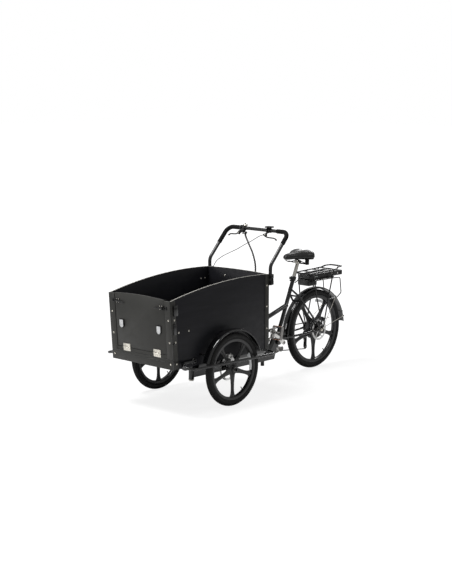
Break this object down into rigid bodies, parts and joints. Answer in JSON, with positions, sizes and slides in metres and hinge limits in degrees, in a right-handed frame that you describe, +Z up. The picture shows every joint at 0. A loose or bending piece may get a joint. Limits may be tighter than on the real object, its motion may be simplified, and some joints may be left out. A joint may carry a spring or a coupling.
{
  "type": "cargo bicycle",
  "caption": "Front-loading cargo tricycle with an open wooden box on a steered two-wheel carriage, drop-down hatch, rear hub motor, rack battery and pedal drive.",
  "frame": {"origin": "on the ground under the middle of the whole cycle's length and width", "axes": "+X forward along the cycle's length, +Y to the rider's left across its width, +Z up"},
  "size_m": [2.1707, 0.842, 1.145],
  "materials": {
    "frame_paint": "gloss black powder coat",
    "box_board": "black film-faced plywood, satin",
    "profile_grey": "satin dark grey",
    "fittings_steel": "zinc plated",
    "drive_steel": "oiled",
    "rotor_steel": "ground",
    "alloy": "satin",
    "bright_chrome": "polished",
    "wheel_black": "satin black moulded",
    "tyre_rubber": "matte",
    "grip_rubber": "matte foam",
    "black_plastic": "matte",
    "battery_case": "satin",
    "motor_shell": "satin black",
    "reflector_clear": "prismatic",
    "reflector_rear": "prismatic",
    "saddle_cover": "soft satin",
    "cable_sheath": "satin"
  },
  "bodies": {
    "rear_chassis": {"rear_frame": "frame_paint", "rear_mudguard": "frame_paint", "rear_mudguard_stays": "fittings_steel", "rear_reflector": "reflector_rear", "luggage_rack": "frame_paint", "battery_dock": "battery_case", "rear_axle": "drive_steel", "rear_derailleur": "motor_shell", "rear_brake_caliper": "motor_shell", "chain": "drive_steel", "seat_clamp": "motor_shell"},
    "carriage": {"carriage_frame": "frame_paint", "steering_kingpin": "drive_steel", "front_brake_calipers": "alloy", "front_mudguards": "frame_paint", "guard_bars": "frame_paint", "floor_panel": "box_board", "left_panel": "box_board", "right_panel": "box_board", "rear_panel": "box_board", "front_sill": "profile_grey", "corner_posts": "profile_grey", "hinge_fixed_leaves": "fittings_steel", "panel_bolts": "fittings_steel", "handlebar": "frame_paint", "handlebar_brackets": "black_plastic", "grips": "grip_rubber", "lever_clamps": "black_plastic", "bell": "bright_chrome", "control_display": "black_plastic", "handlebar_cables": "cable_sheath"},
    "hatch": {"front_hatch": "box_board", "hinge_moving_leaves": "fittings_steel", "hatch_reflectors": "reflector_clear", "latch_bases": "black_plastic"},
    "latch_left": {"latch_lever_left": "black_plastic"},
    "latch_right": {"latch_lever_right": "black_plastic"},
    "left_brake_lever": {"brake_lever_left": "motor_shell"},
    "right_brake_lever": {"brake_lever_right": "motor_shell"},
    "bell_thumb": {"bell_lever": "black_plastic"},
    "shifter": {"shift_lever": "black_plastic"},
    "left_front_wheel": {"front_tyre_left": "tyre_rubber", "front_wheel_left": "wheel_black", "front_rotor_left": "rotor_steel"},
    "right_front_wheel": {"front_tyre_right": "tyre_rubber", "front_wheel_right": "wheel_black", "front_rotor_right": "rotor_steel"},
    "back_wheel": {"rear_tyre": "tyre_rubber", "rear_wheel": "wheel_black", "hub_motor": "motor_shell", "rear_rotor": "rotor_steel"},
    "sprockets": {"cassette": "drive_steel"},
    "crank": {"crankset": "alloy"},
    "left_pedal": {"pedal_left": "alloy"},
    "right_pedal": {"pedal_right": "alloy"},
    "saddle_post": {"seatpost": "alloy", "saddle": "saddle_cover", "saddle_springs": "motor_shell"},
    "seat_lever": {"seat_clamp_lever": "motor_shell"},
    "battery": {"battery_pack": "battery_case"}
  },
  "joints": [
    {"name": "steering", "type": "hinge", "parent": "rear_chassis", "child": "carriage", "pos_m": [0.59, 0, 0.2], "axis": [0, 0, 1], "range_deg": [-35, 35]},
    {"name": "left_front_wheel_spin", "type": "hinge", "parent": "carriage", "child": "left_front_wheel", "pos_m": [0.56, 0.358, 0.25], "axis": [0, 1, 0], "continuous": true},
    {"name": "right_front_wheel_spin", "type": "hinge", "parent": "carriage", "child": "right_front_wheel", "pos_m": [0.56, -0.358, 0.25], "axis": [0, 1, 0], "continuous": true},
    {"name": "back_wheel_spin", "type": "hinge", "parent": "rear_chassis", "child": "back_wheel", "pos_m": [-0.733, 0, 0.3005], "axis": [0, 1, 0], "continuous": true},
    {"name": "crank_spin", "type": "hinge", "parent": "rear_chassis", "child": "crank", "pos_m": [-0.302, 0, 0.265], "axis": [0, 1, 0], "continuous": true},
    {"name": "sprocket_spin", "type": "hinge", "parent": "rear_chassis", "child": "sprockets", "pos_m": [-0.733, 0, 0.3005], "axis": [0, 1, 0], "continuous": true},
    {"name": "left_pedal_spin", "type": "hinge", "parent": "crank", "child": "left_pedal", "pos_m": [-0.16447, 0.132, 0.36492], "axis": [0, 1, 0], "continuous": true},
    {"name": "right_pedal_spin", "type": "hinge", "parent": "crank", "child": "right_pedal", "pos_m": [-0.43953, -0.132, 0.16508], "axis": [0, 1, 0], "continuous": true},
    {"name": "hatch_hinge", "type": "hinge", "parent": "carriage", "child": "hatch", "pos_m": [1.05773, 0, 0.40598], "axis": [0, 1, 0], "range_deg": [0, 120]},
    {"name": "left_latch_turn", "type": "hinge", "parent": "hatch", "child": "latch_left", "pos_m": [1.08761, 0.226, 0.71816], "axis": [0.0699, 0, 0.9976], "range_deg": [0, 140]},
    {"name": "right_latch_turn", "type": "hinge", "parent": "hatch", "child": "latch_right", "pos_m": [1.08761, -0.226, 0.71816], "axis": [-0.0699, 0, -0.9976], "range_deg": [0, 140]},
    {"name": "left_brake_pull", "type": "hinge", "parent": "carriage", "child": "left_brake_lever", "pos_m": [-0.066, 0.0975, 1.078], "axis": [0.8, 0, 0.6], "range_deg": [0, 18], "stiffness_Nm_per_rad": 1.5, "springref_deg": -11.46},
    {"name": "right_brake_pull", "type": "hinge", "parent": "carriage", "child": "right_brake_lever", "pos_m": [-0.066, -0.1595, 1.078], "axis": [-0.8, 0, -0.6], "range_deg": [0, 18], "stiffness_Nm_per_rad": 1.5, "springref_deg": -11.46},
    {"name": "bell_press", "type": "hinge", "parent": "carriage", "child": "bell_thumb", "pos_m": [-0.075, -0.122, 1.128], "axis": [0, 0, 1], "range_deg": [0, 25], "stiffness_Nm_per_rad": 0.02, "springref_deg": -11.46},
    {"name": "gear_shift", "type": "hinge", "parent": "carriage", "child": "shifter", "pos_m": [-0.072, -0.122, 1.0745], "axis": [0, 0, 1], "range_deg": [0, 35], "stiffness_Nm_per_rad": 0.05, "springref_deg": -11.46},
    {"name": "saddle_height", "type": "slide", "parent": "rear_chassis", "child": "saddle_post", "axis": [-0.3932, 0, 0.9195], "range_m": [-0.05, 0.12]},
    {"name": "seat_lever_turn", "type": "hinge", "parent": "rear_chassis", "child": "seat_lever", "pos_m": [-0.464, 0.019, 0.718], "axis": [0, 0, 1], "range_deg": [0, 120]},
    {"name": "battery_slide", "type": "slide", "parent": "rear_chassis", "child": "battery", "axis": [-1, 0, 0], "range_m": [0, 0.3]}
  ],
  "couplings": [
    {"joint": "sprocket_spin", "follows": "crank_spin", "ratio": 2.0238}
  ]
}
